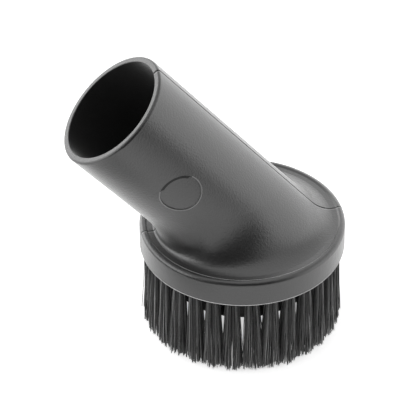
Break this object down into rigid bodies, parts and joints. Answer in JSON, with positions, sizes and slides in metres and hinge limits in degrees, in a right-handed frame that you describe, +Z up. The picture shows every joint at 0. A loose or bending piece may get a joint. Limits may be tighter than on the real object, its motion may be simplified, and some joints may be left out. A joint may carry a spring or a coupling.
{
  "type": "vacuum dusting brush",
  "caption": "Round dusting brush for a vacuum cleaner: a slanted plastic socket tube that flares into a disc head ringed with dark bristle tufts around a suction collar.",
  "frame": {"origin": "on the axis of the round head, in the plane of the bristle tips", "axes": "+Z up along the head's axis, away from the bristles; the socket tube leans towards -X in the XZ plane, which is the mould's parting plane; +Y across"},
  "size_m": [0.0891, 0.066, 0.0982],
  "materials": {
    "housing_plastic": "fine satin moulded texture, dark grey",
    "bristle": "stiff dark filaments with a slight sheen",
    "anchor_wire": "flat drawn wire"
  },
  "bodies": {
    "root": {"housing": "housing_plastic", "tuft_anchors": "anchor_wire", "tuft_01": "bristle", "tuft_02": "bristle", "tuft_03": "bristle", "tuft_04": "bristle", "tuft_05": "bristle", "tuft_06": "bristle", "tuft_07": "bristle", "tuft_08": "bristle", "tuft_09": "bristle", "tuft_10": "bristle", "tuft_11": "bristle", "tuft_12": "bristle", "tuft_13": "bristle", "tuft_14": "bristle", "tuft_15": "bristle", "tuft_16": "bristle", "tuft_17": "bristle", "tuft_18": "bristle", "tuft_19": "bristle", "tuft_20": "bristle", "tuft_21": "bristle", "tuft_22": "bristle", "tuft_23": "bristle", "tuft_24": "bristle", "tuft_25": "bristle", "tuft_26": "bristle", "tuft_27": "bristle", "tuft_28": "bristle", "tuft_29": "bristle", "tuft_30": "bristle"}
  },
  "joints": []
}
